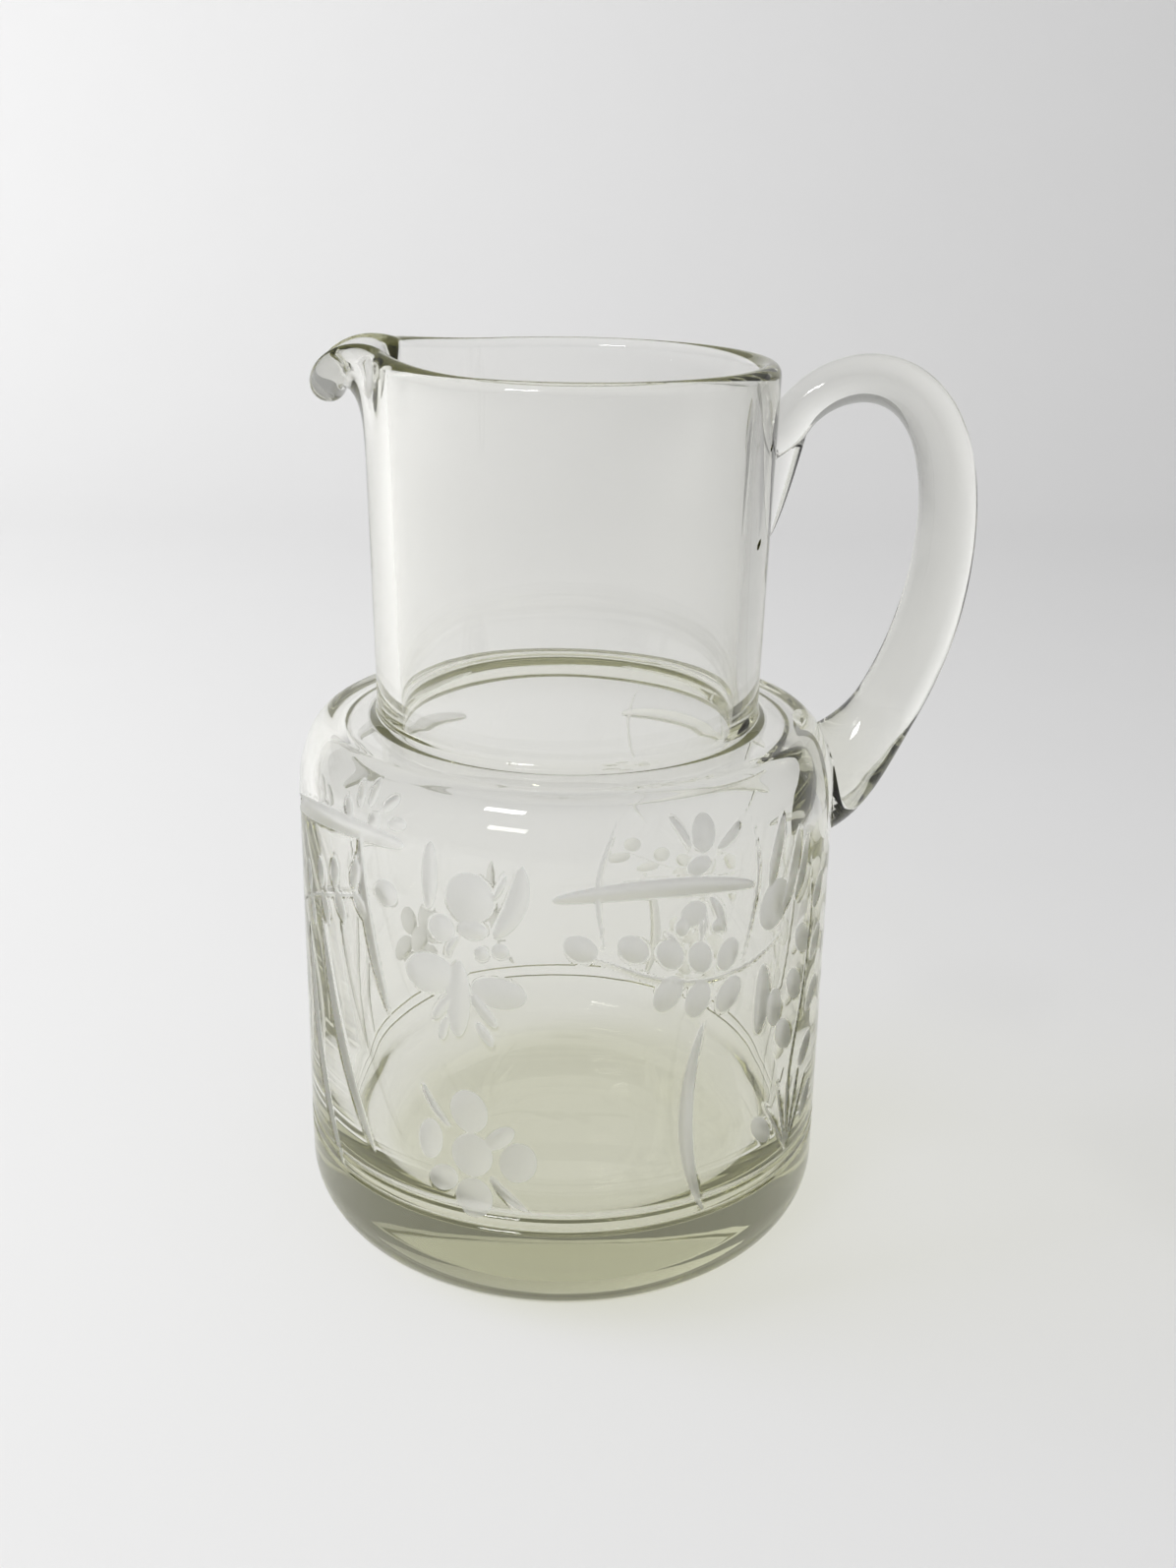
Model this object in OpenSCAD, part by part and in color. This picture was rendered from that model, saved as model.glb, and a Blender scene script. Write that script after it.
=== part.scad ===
/* [Body] */
// Outside diameter of the body
body_d = 115; // [104:1:130]
// Height of the shoulder above the resting face
body_h = 117; // [105:1:130]
// Thickness of the body wall
wall_t = 4.8; // [3.5:0.1:6.5]
// Thickening of the body wall from the shoulder down to the heavy base
wall_growth = 3; // [0:0.1:8]
// Thickness of the shoulder
shoulder_t = 4.2; // [3.5:0.1:7]
// Thickness of the heavy base at its middle
base_t = 17; // [12:0.5:24]
// Rounding of the bottom edge
foot_r = 16; // [8:0.5:20]
// Width of the rounded shoulder edge
edge_w = 7.5; // [6:0.5:10]
// Height of the rounded shoulder edge
edge_h = 16; // [10:0.5:22]
// Rise of the shoulder from its rounded edge to the neck
shoulder_rise = 0.3; // [0:0.1:1.5]
// Width of the rounding at the bottom of the cavity
well_w = 20; // [8:0.5:26]
// Height of the rounding at the bottom of the cavity
well_h = 34; // [8:0.5:40]
// Fullness of that rounding: 2 gives a quarter of an oval, and more gives a tighter corner
well_full_share = 4; // [1.5:0.1:6]
// Dip of the cavity floor at its middle
well_dip = 1.2; // [0:0.1:3]

/* [Cut ring] */
// Height of the middle of the cut double ring
ring_z = 26; // [20:0.5:60]
// Distance between the two grooves of the ring
ring_pitch = 3.2; // [2:0.1:6]
// Width of each groove
ring_w = 1.4; // [0.6:0.1:1.8]
// Depth of each groove
ring_depth = 0.5; // [0.2:0.05:1]

/* [Neck] */
// Outside diameter of the neck at its foot
neck_d = 81; // [70:1:86]
// Outside diameter of the neck at its rim
rim_d = 84; // [74:1:90]
// Height of the rim above the shoulder
neck_h = 74; // [64:1:90]
// Thickness of the neck wall at its foot
neck_t = 5.1; // [3.5:0.1:6]
// Thickness of the fire-polished rim
rim_t = 4.6; // [3:0.1:6]
// Fillet between the neck and the shoulder
fillet_r = 2.5; // [2:0.1:5]
// Rounding of the bore where it opens into the cavity
throat_r = 3; // [2:0.1:8]

/* [Spout] */
// Height of the part of the neck that the spout bends
spout_h = 41; // [34:1:50]
// Turn of the wall along the spout, in degrees
spout_turn = 172; // [120:1:175]
// Half of the angle that the pulled lip takes round the neck
spout_half = 22; // [16:1:40]
// Extra length of the wall in the flanks of the spout
flank_rise = 2.8; // [0:0.1:4]
// Extra length of the wall in the lip
lip_reach = 2.5; // [0:0.1:5]
// Thickening of the lip's drooping bead
lip_bead = 1.4; // [0:0.1:2]

/* [Handle] */
// Distance below the rim at which the rod leaves the neck
handle_below_rim = 12; // [10:0.5:20]
// Gap between the neck and the rod's middle line where it leaves the neck
handle_stand = 2.7; // [1:0.1:5]
// Distance from the body wall out to the rod's middle line
handle_reach = 20.5; // [16:0.5:30]
// Depth of the lower seal's middle below the shoulder
seal_below_shoulder = 15; // [12:0.5:20]
// Depth of the rod's middle line inside the wall at the lower seal
seal_depth = 4.2; // [3:0.1:6]
// Thickness of the rod where it leaves the neck
rod_t = 8.5; // [7:0.1:12]
// Growth of the rod's thickness down to the lower seal
rod_growth = 5.9; // [2:0.1:8]
// Further thickness of the foot of the handle
foot_growth = 8.3; // [4:0.1:12]
// Width of the rod where it leaves the neck
rod_w = 9.6; // [7:0.1:14]
// Growth of the rod's width down to the lower seal
rod_spread = 4; // [1:0.1:7]
// Further width of the foot of the handle
foot_spread = 12; // [6:0.1:14]
// Length of the pointed tail down the neck
tail_h = 22; // [14:0.5:30]
// Depth of the tail at its top
tail_depth = 6.3; // [4:0.1:8]
// Width of the tail at its top
tail_w = 8.4; // [5:0.1:9.5]

/* [Hidden] */
$fn = 120;

body_r = body_d / 2;
cavity_r = body_r - wall_t;
ceiling_z = body_h - shoulder_t;
edge_r = body_r - edge_w;
rim_z = body_h + neck_h;
split_z = rim_z - spout_h;

// Steps along a rounding, up the bent wall, round the rim and along the spout
arc_steps = 10;
well_steps = 14;
wall_steps = 16;
rim_steps = 8;
// Steps left out under the lip, where its bead tucks in against the neck
tuck_steps = 3;
// Half of the angle round the neck that the whole spout takes
spout_spread = 66;
// Angle of a column of the spout, of a finer column in the lip, and half of the angle with finer ones
column_angle = 3;
lip_column_angle = 1.5;
lip_zone = 24;
// Where the spout joins the plain rim: columns past the cut, how proud it starts and how deep it ends
seam_columns = 2;
seam_proud = 0.05;
seam_depth = 0.6;
// How late the wall turns on its way up, and how close its rings lie at the rim
spout_curl_share = 7.4;
crowding_share = 1.5;
// How sharply the lip narrows, and how late its bead swells
lip_taper_share = 1.38;
bead_late_share = 14;

// Steps along the handle and round its rod
root_steps = 3;
rod_steps = 17;
rod_sides = 20;
tail_steps = 9;
// Headings of the rod's middle line, in degrees above the horizontal
root_heading = 25;
leave_heading = 59.5;
seal_heading = -150;
// Height of the handle's outermost point as a share of the way up from the lower seal
outermost_share = 0.73;
// Pull of the curve at the neck, above and below its outermost point, and at the seal
leave_pull_share = 0.44;
above_pull_share = 0.477;
below_pull_share = 0.323;
seal_pull_share = 0.6;
// Where the rod has grown to its lower thickness, and where its foot starts to swell
rod_grown_share = 0.9;
foot_start_share = 0.775;
// How full the tail is on its way down to its point
tail_full_share = 0.75;

// Points of an arc about the centre c, with the radii rx and rz, from angle a0 to a1
function arc(c, rx, rz, a0, a1) =
    [for (i = [0 : arc_steps]) let (a = a0 + (a1 - a0) * i / arc_steps) c + [rx * cos(a), rz * sin(a)]];

// Points of the rounding at the bottom of the cavity, from the wall down to the floor
function well(c, rx, rz) =
    [for (i = [0 : well_steps]) let (a = 90 * i / well_steps, power = 2 / well_full_share)
        c + [rx * pow(cos(a), power), -rz * pow(sin(a), power)]];

// Unit vector at an angle above the horizontal
function along(angle) = [cos(angle), sin(angle)];

// Smooth rise from 0 to 1 while s goes from a to b
function ease(s, a, b) = let (t = min(max((s - a) / (b - a), 0), 1)) t * t * (3 - 2 * t);

// A curve from p0 to p3 pulled towards p1 and p2, in n steps, without its first point
function curve(p0, p1, p2, p3, n) =
    [for (i = [1 : n]) let (t = i / n, u = 1 - t)
        u * u * u * p0 + 3 * u * u * t * p1 + 3 * u * t * t * p2 + t * t * t * p3];

// Radius of the neck's outside and of its bore at a height
function neck_r(z) = (neck_d + (rim_d - neck_d) * (z - body_h) / neck_h) / 2;
function neck_wall(z) = neck_t + (rim_t - neck_t) * (z - body_h) / neck_h;
function bore_r(z) = neck_r(z) - neck_wall(z);

// One cut groove in the outline of the body, from below to above
function groove(z) = [[body_r, z - ring_w / 2], [body_r - ring_depth, z], [body_r, z + ring_w / 2]];

// Outside of the body from the middle of its resting face to a height on the neck
function outside(top_z) = concat(
    [[0, 0]],
    arc([body_r - foot_r, foot_r], foot_r, foot_r, -90, 0),
    groove(ring_z - ring_pitch / 2),
    groove(ring_z + ring_pitch / 2),
    arc([edge_r, body_h - edge_h], edge_w, edge_h, 0, 90),
    arc([neck_r(body_h) + fillet_r, body_h + shoulder_rise + fillet_r], fillet_r, fillet_r, -90, -180),
    [[neck_r(top_z), top_z]]
);

// Inside of the body from the foot of the spout's part of the neck to the middle of the floor
function inside() = concat(
    [[bore_r(split_z), split_z]],
    arc([bore_r(body_h) + throat_r, ceiling_z + shoulder_rise + throat_r], throat_r, throat_r, 180, 270),
    arc([cavity_r - edge_w, body_h - edge_h], edge_w, edge_h - shoulder_t, 90, 0),
    well([cavity_r - wall_growth - well_w, base_t + well_h], well_w, well_h),
    [[0, base_t - well_dip]]
);

// Heading of the neck wall's middle line from upright at the share u of the way up the spout
lean = atan2(neck_r(rim_z) - neck_r(split_z) - (rim_t - neck_wall(split_z)) / 2, spout_h - rim_t / 2);
function wall_heading(u, bend) = lean + spout_turn * bend * pow(u, spout_curl_share);
function climb(i) = 1 - pow(1 - i / wall_steps, crowding_share);

// Middle line of the wall where the lip bends by the share bend and the wall is lengthened by the share lift
function wall_line(bend, lift) =
    let (length = (spout_h - rim_t / 2) / cos(lean) + flank_rise * lift + lip_reach * bend)
    [for (
        i = 0, p = [neck_r(split_z) - neck_wall(split_z) / 2, split_z];
        i <= wall_steps;
        step = length * (climb(i + 1) - climb(i)),
        heading = wall_heading((climb(i) + climb(i + 1)) / 2, bend),
        p = p + step * [sin(heading), cos(heading)],
        i = i + 1
    ) p];

// Half of the wall's thickness on the way up to the bead of the lip
function half_wall(u, bend) =
    (neck_wall(split_z) * (1 - u) + rim_t * u) / 2 + lip_bead * sqrt(bend) * pow(u, bead_late_share);

// Section through the neck wall, drawn in by an inset: up its outside, round the rim and down the bore.
// Its foot never reaches inwards past the round bore below, which keeps the ledge there simple
function neck_section(bend, lift, inset) =
    let (
        line = wall_line(bend, lift),
        last = wall_heading(1, bend),
        side = [for (i = [0 : wall_steps]) let (h = wall_heading(climb(i), bend)) [cos(h), -sin(h)]],
        half = [for (i = [0 : wall_steps]) half_wall(climb(i), bend) - inset],
        rim = half[wall_steps]
    )
    concat(
        [for (i = [0 : wall_steps - tuck_steps])
            i == 0 ? [neck_r(split_z) - inset, split_z] : line[i] + half[i] * side[i]],
        [for (k = [0 : rim_steps - 1]) let (a = 180 * k / rim_steps)
            line[wall_steps] + rim * (cos(a) * side[wall_steps] + sin(a) * [sin(last), cos(last)])],
        [for (i = [wall_steps : -1 : 0])
            i == 0 ? [bore_r(split_z) + abs(inset), split_z] : line[i] - half[i] * side[i]]
    );

// Shares of the lip's bend and of the flanks' lift at an angle from the middle of the spout
function bell(angle, half) = pow(cos(90 * min(abs(angle) / half, 1)), 2);
function bend_at(angle) = pow(bell(angle, spout_half), lip_taper_share);
function lift_at(angle) = bell(angle, spout_spread);

// The spout's ends dive into the plain rim: they are a little proud of its cut and end inside its wall
function inset_at(angle) = let (past = abs(angle) - spout_spread)
    past < 0 ? -seam_proud : (seam_depth + seam_proud) * past / (seam_columns * column_angle) - seam_proud;

// A closed skin over rings that all have the same number of points, split along the shorter diagonals
module skin(rings) {
    n = len(rings[0]);
    last = len(rings) - 1;
    points = [for (ring = rings) each ring];
    sides = [for (j = [0 : last - 1], i = [0 : n - 1])
        let (
            a = j * n + i,
            b = j * n + (i + 1) % n,
            rising = norm(points[b + n] - points[a]) < norm(points[a + n] - points[b])
        )
        each rising ? [[a, b, b + n], [a, b + n, a + n]] : [[a, b, a + n], [b, b + n, a + n]]];
    ends = [[for (i = [n - 1 : -1 : 0]) i], [for (i = [0 : n - 1]) last * n + i]];
    polyhedron(points = points, faces = concat(sides, ends));
}

// The blown vessel below the part of the neck that the spout bends
module vessel() {
    rotate_extrude() polygon(concat(outside(split_z), inside()));
}

// The plain part of the neck and rim, all round but for the spout
module plain_rim() {
    rotate_extrude(start = 180 + spout_spread, angle = 360 - 2 * spout_spread) polygon(neck_section(0, 0, 0));
}

// The pulled spout: its wall turns over outwards into a drooping, beaded lip
module spout() {
    end = spout_spread + seam_columns * column_angle;
    angles = concat(
        [for (a = [-end : column_angle : -lip_zone]) a],
        [for (a = [lip_column_angle - lip_zone : lip_column_angle : lip_zone - lip_column_angle]) a],
        [for (a = [lip_zone : column_angle : end]) a]
    );
    skin([for (angle = angles)
        let (azimuth = 180 + angle)
        [for (p = neck_section(bend_at(angle), lift_at(angle), inset_at(angle)))
            [p.x * cos(azimuth), p.x * sin(azimuth), p.y]]]);
}

module body() {
    color([0.80, 0.84, 0.78, 0.5]) {
        vessel();
        plain_rim();
        spout();
    }
}

// Middle line of the rod: out of the neck, over the top, down and in to the lower seal
leave = [neck_r(rim_z - handle_below_rim) + handle_stand, rim_z - handle_below_rim];
seal = [body_r - seal_depth, body_h - seal_below_shoulder];
handle_rise = leave.y - seal.y;
outermost = [body_r + handle_reach, seal.y + outermost_share * handle_rise];
root_length = rod_t;
root = leave - root_length * along((root_heading + leave_heading) / 2);
rod_line = concat(
    [root],
    curve(
        root,
        root + root_length / 3 * along(root_heading),
        leave - root_length / 3 * along(leave_heading),
        leave,
        root_steps
    ),
    curve(
        leave,
        leave + leave_pull_share * (outermost.x - leave.x) * along(leave_heading),
        outermost + [0, above_pull_share * handle_rise],
        outermost,
        rod_steps
    ),
    curve(
        outermost,
        outermost - [0, below_pull_share * handle_rise],
        seal - seal_pull_share * (outermost.x - seal.x) * along(seal_heading),
        seal,
        rod_steps
    ),
    [seal + rod_t * along(seal_heading)]
);

// The drawn rod, an oval that widens towards its foot
module rod() {
    last = len(rod_line) - 1;
    skin([for (i = [0 : last])
        let (
            ahead = rod_line[min(i + 1, last)] - rod_line[max(i - 1, 0)],
            normal = [-ahead.y, ahead.x] / norm(ahead),
            s = i / last,
            grown = ease(s, 0, rod_grown_share),
            foot = ease(s, foot_start_share, 1),
            half_t = (rod_t + rod_growth * grown + foot_growth * foot) / 2,
            half_w = (rod_w + rod_spread * grown + foot_spread * foot) / 2
        )
        [for (k = [0 : rod_sides - 1])
            let (a = 360 * k / rod_sides, q = rod_line[i] + half_t * cos(a) * normal)
            [q.x, half_w * sin(a), q.y]]]);
}

// The tail that the rod leaves down the neck where it is pressed on
module tail() {
    top_z = leave.y - rod_t / 4;
    skin([for (i = [0 : tail_steps])
        let (
            s = i / tail_steps,
            z = top_z - tail_h * (1 - s),
            full = max(pow(s, tail_full_share), 1 / tail_steps / tail_steps)
        )
        [for (k = [0 : rod_sides - 1])
            let (a = 360 * k / rod_sides)
            [neck_r(z) + tail_depth * full * cos(a), -tail_w / 2 * full * sin(a), z]]]);
}

module handle() {
    color([0.86, 0.89, 0.84, 0.5]) difference() {
        union() {
            rod();
            tail();
        }
        rotate_extrude() polygon(concat(outside(rim_z), [[0, rim_z]]));
    }
}

body();
handle();
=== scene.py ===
import math

import bpy
import numpy as np
from mathutils import Matrix, Vector
from mathutils.bvhtree import BVHTree


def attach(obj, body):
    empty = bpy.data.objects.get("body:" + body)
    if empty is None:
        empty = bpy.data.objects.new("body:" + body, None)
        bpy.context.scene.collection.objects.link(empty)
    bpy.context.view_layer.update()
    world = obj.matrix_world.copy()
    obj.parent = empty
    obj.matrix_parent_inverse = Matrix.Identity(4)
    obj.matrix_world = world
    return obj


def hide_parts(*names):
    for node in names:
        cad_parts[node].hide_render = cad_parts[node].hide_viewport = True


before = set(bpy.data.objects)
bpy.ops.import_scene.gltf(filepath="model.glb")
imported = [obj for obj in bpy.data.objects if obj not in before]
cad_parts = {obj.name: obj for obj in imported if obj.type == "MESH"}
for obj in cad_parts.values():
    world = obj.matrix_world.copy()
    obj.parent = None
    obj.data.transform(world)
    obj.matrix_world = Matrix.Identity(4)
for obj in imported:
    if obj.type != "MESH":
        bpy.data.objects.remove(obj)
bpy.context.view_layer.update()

# Sizes are in millimetres, as in the CAD, and go into the meshes in metres.
MM = 0.001
# The CAD's flat facets lie a hair inside its true circles, and the visual meshes stay inside them
drawn_in = 0.9995

# The CAD's own sizes, repeated here because the visual meshes follow the same formulas
body_r = 57.5
body_h = 117.0
wall_t = 4.8
shoulder_t = 4.2
base_t = 17.0
foot_r = 16.0
edge_w = 7.5
edge_h = 16.0
shoulder_rise = 0.3
well_w = 20.0
well_h = 34.0
well_dip = 1.2
well_full = 4.0
wall_growth = 3.0
ring_z = 26.0
ring_pitch = 3.2
ring_w = 1.4
ring_depth = 0.5
neck_d = 81.0
rim_d = 84.0
neck_h = 74.0
neck_t = 5.1
rim_t = 4.6
fillet_r = 2.5
throat_r = 3.0
spout_h = 41.0
spout_turn = math.radians(172)
spout_half = 22.0
spout_spread = 66.0
flank_rise = 2.8
lip_reach = 2.5
lip_bead = 1.4
curl = 7.4
crowding = 1.5
lip_taper = 1.38
bead_late = 14
handle_below_rim = 12.0
handle_stand = 2.7
handle_reach = 20.5
seal_below_shoulder = 15.0
seal_depth = 4.2
rod_t = 8.5
rod_growth = 5.9
foot_growth = 8.3
rod_w = 9.6
rod_spread = 4.0
foot_spread = 12.0
tail_h = 22.0
tail_depth = 6.3
tail_w = 8.4

root_heading = 25
leave_heading = 59.5
seal_heading = -150
outermost_share = 0.73
leave_pull = 0.44
above_pull = 0.477
below_pull = 0.323
seal_pull = 0.6
rod_grown = 0.9
foot_start = 0.775
tail_full = 0.75

# Steps of the handle's line in the CAD, how many times finer the visual line is, and its sides
root_steps = 3
rod_steps = 17
line_steps = root_steps + 2 * rod_steps + 1
finer = 3
rod_sides = 56
tail_steps = 30
tail_sides = 48
# Slow unevenness of the blown inside, in millimetres, with its random seeds
bore_wave = 0.10
cavity_wave = 0.22
height_wave = 0.10
bore_seed = 3
cavity_seed = 5

# The glass: its surface colour, the tint and density of its depth, and the tone of what passes it
glass_tone = (0.994, 0.994, 0.99, 1)
glass_tint = (0.61, 0.61, 0.37)
glass_density = 14.0
# Set above 1, the tone of what passes is painted light: it stands in for the light the glass
# gathers onto the floor
pass_and_caustic_tone = 1.02
clear_rough = 0.002
scuff_rough = 0.008
scuff_top = 0.0004
# Height of the rod's drawn streaks and of the body's ripple, in metres
streak_depth = 0.0007
ripple_depth = 0.00004
# The ornament: how much deeper than drawn, and how white, dark, rough and grainy its cuts are
cut_depth = 1.8
cut_white = 0.3
cut_tone = 0.8
cut_rough = 0.3
grain_depth = 0.00006
# Value of the masks "cut" and "seal" far from any cut or seal, in millimetres
cut_far = -3.0
seal_far = -1.0

# The room, in metres: brightness towards the front and the back, and the paper on the table
world_front = 0.5
world_back = 0.35
world_strength = 0.93
paper_tone = 0.80
paper_front = -1.6
paper_half_w = 2.2
paper_drop = 0.0002
cove_y = 0.75
cove_r = 0.55
backdrop_top = 0.7
# A large soft lamp lights the paper, a small one draws the highlights on the glass
soft_place = (-1.2, 0.0, 0.95)
soft_aim = (0, 0.4, 0.05)
soft_size = (1.0, 1.0)
soft_power = 20.5
small_place = (-0.45, -0.8, 0.9)
small_aim = (0, 0, 0.15)
small_size = (0.32, 0.14)
small_power = 2.6
# The camera, as fitted to the photograph
camera_place = (0, -0.3623, 0.2314)
camera_tilt = math.radians(19.91)
camera_yaw = math.radians(0.73)
camera_roll = math.radians(-0.95)
focal_pixels = 1800
photo_pixels = 1594
sensor_mm = 36

cavity_r = body_r - wall_t
ceiling_z = body_h - shoulder_t
edge_r = body_r - edge_w
edge_z = body_h - edge_h
floor_r = cavity_r - wall_growth - well_w
throat_z = ceiling_z + shoulder_rise + throat_r
rim_z = body_h + neck_h
split_z = rim_z - spout_h


def neck_r(z):
    return (neck_d + (rim_d - neck_d) * (z - body_h) / neck_h) / 2


def neck_wall(z):
    return neck_t + (rim_t - neck_t) * (z - body_h) / neck_h


def bore_r(z):
    return neck_r(z) - neck_wall(z)


def ease(s, a, b):
    t = np.clip((s - a) / (b - a), 0, 1)
    return t * t * (3 - 2 * t)


def along(deg):
    """Unit vector at an angle in degrees."""
    return np.array([math.cos(math.radians(deg)), math.sin(math.radians(deg))])


def travelled(points):
    """The way covered along a line at each of its points."""
    return np.r_[0, np.cumsum(np.linalg.norm(np.diff(points, axis=0), axis=1))]


def arc(cx, cz, rx, rz, a0, a1, n):
    a = np.radians(np.linspace(a0, a1, n + 1))
    return [(cx + rx * math.cos(k), cz + rz * math.sin(k)) for k in a]


def shoulder_edge(n):
    """The rounded outer edge of the shoulder, from the wall up."""
    return arc(edge_r, edge_z, edge_w, edge_h, 0, 90, n)


def neck_fillet(n):
    """The fillet between the shoulder and the neck, from the shoulder up."""
    return arc(neck_r(body_h) + fillet_r, body_h + shoulder_rise + fillet_r,
               fillet_r, fillet_r, -90, -180, n)


def funnel(n):
    """The cavity's rounding above its floor, fuller or straighter than a quarter of an ellipse."""
    power = 2 / well_full
    return [(floor_r + well_w * max(math.cos(a), 0) ** power,
             base_t + well_h - well_h * math.sin(a) ** power)
            for a in (math.radians(90 * k / n) for k in range(n + 1))]


# ---------------------------------------------------------------- wheel-cut ornament
# Places are in millimetres on the unrolled wall: s to the right of the middle of the front,
# z above the resting face. Each cut gives a depth and how far inside its edge a point lies.
class Cuts:
    def __init__(self, s, z):
        self.s, self.z = s, z
        self.depth = np.zeros_like(s)
        self.inside = np.full_like(s, cut_far)
        self.turn = 2 * math.pi * body_r

    def near(self, s0, z0, reach):
        """The points within reach of a place, and all points' distances from it."""
        ds = (self.s - s0 + self.turn / 2) % self.turn - self.turn / 2
        dz = self.z - z0
        return np.nonzero((np.abs(ds) < reach) & (np.abs(dz) < reach))[0], ds, dz

    def put(self, pick, inside, depth):
        for kept, new in ((self.inside, inside), (self.depth, depth)):
            kept[pick] = np.maximum(kept[pick], new)

    def olive(self, s0, z0, a, b, turned=0.0, deep=0.38):
        """An oval hollow with half axes a and b, a along the turned direction."""
        pick, ds, dz = self.near(s0, z0, max(a, b) + 3)
        c, n = along(turned)
        x, y = ds[pick] * c + dz[pick] * n, -ds[pick] * n + dz[pick] * c
        q = np.hypot(x / a, y / b)
        self.put(pick, (1 - q) * min(a, b), deep * np.clip(1 - q * q, 0, 1))

    def leaf(self, p, q, width, bow=0.0, deep=0.45, blunt=0.5):
        """A pointed cut from p to q, bowed sideways; blunt near 0 is fuller at its ends."""
        p, q = np.array(p, float), np.array(q, float)
        way = q - p
        length = np.linalg.norm(way)
        way /= length
        pick, ds, dz = self.near(*(p + q) / 2, length / 2 + width + abs(bow) + 2)
        x = ds[pick] * way[0] + dz[pick] * way[1]
        y = -ds[pick] * way[1] + dz[pick] * way[0]
        t = np.clip(x / length + 0.5, 0, 1)
        y = y - bow * 4 * t * (1 - t)
        full = (4 * t * (1 - t)) ** blunt
        half = width / 2 * full
        past = np.maximum(np.abs(x) - length / 2, 0)
        inside = np.where(past > 0, -np.hypot(past, y), half - np.abs(y))
        v = np.abs(y) / np.maximum(half, 1e-4)
        depth = np.where(past > 0, 0, deep * np.clip(1 - v**1.6, 0, 1) * np.sqrt(full))
        self.put(pick, inside, depth)

    def stroke(self, points, width, deep=0.3, taper=0.25):
        """A thin line through points, tapered at both ends."""
        pts = np.array(points, float)
        fine = []
        for i in range(len(pts) - 1):
            a, b = pts[max(i - 1, 0)], pts[i]
            c, d = pts[i + 1], pts[min(i + 2, len(pts) - 1)]
            for t in np.linspace(0, 1, 12, endpoint=False):
                fine.append(0.5 * (2 * b + (c - a) * t + (2 * a - 5 * b + 4 * c - d) * t * t
                                   + (3 * b - a - 3 * c + d) * t**3))
        fine.append(pts[-1])
        fine = np.array(fine)
        run = travelled(fine)
        mid = (fine.min(0) + fine.max(0)) / 2
        pick, ds, dz = self.near(*mid, np.ptp(fine, axis=0).max() / 2 + width + 2)
        xy = np.c_[ds[pick], dz[pick]] + mid
        best = np.full(len(pick), 1e9)
        at = np.zeros(len(pick))
        for i in range(len(fine) - 1):
            e = fine[i + 1] - fine[i]
            t = np.clip(((xy - fine[i]) @ e) / (e @ e), 0, 1)
            far = np.linalg.norm(xy - fine[i] - t[:, None] * e, axis=1)
            closer = far < best
            best[closer] = far[closer]
            at[closer] = (run[i] + t * np.linalg.norm(e))[closer]
        share = at / run[-1]
        full = np.clip(np.minimum(share, 1 - share) / taper, 0.02, 1) ** 0.6
        half = width / 2 * full
        self.put(pick, half - best, deep * full * np.clip(1 - (best / half) ** 1.5, 0, 1))

    def spray(self, stem, size, pairs, lean=35.0):
        """A stem through points with paired leaves along it."""
        self.stroke(stem, 0.5, deep=0.2)
        pts = np.array(stem, float)
        run = travelled(pts)

        def at(d):
            return np.array([np.interp(d, run, pts[:, 0]), np.interp(d, run, pts[:, 1])])

        for k in range(pairs):
            d = run[-1] * (k + 0.6) / pairs
            head = math.degrees(math.atan2(*(at(d + 0.5) - at(d - 0.5))[::-1]))
            for side in (1, -1):
                turned = head + side * (90 - lean)
                self.olive(*at(d) + along(turned) * size * 0.62, size / 2, size * 0.34, turned,
                           deep=0.34)

    def daisy(self, s0, z0, petal, count, first, middle):
        """A round middle with oval petals about it."""
        for k in range(count):
            turned = first + 360 * k / count
            s, z = (s0, z0) + along(turned) * (middle * 0.8 + petal / 2)
            self.olive(s, z, petal / 2, petal * 0.36, turned, deep=0.36)
        self.olive(s0, z0, middle, middle, deep=0.42)


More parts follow.
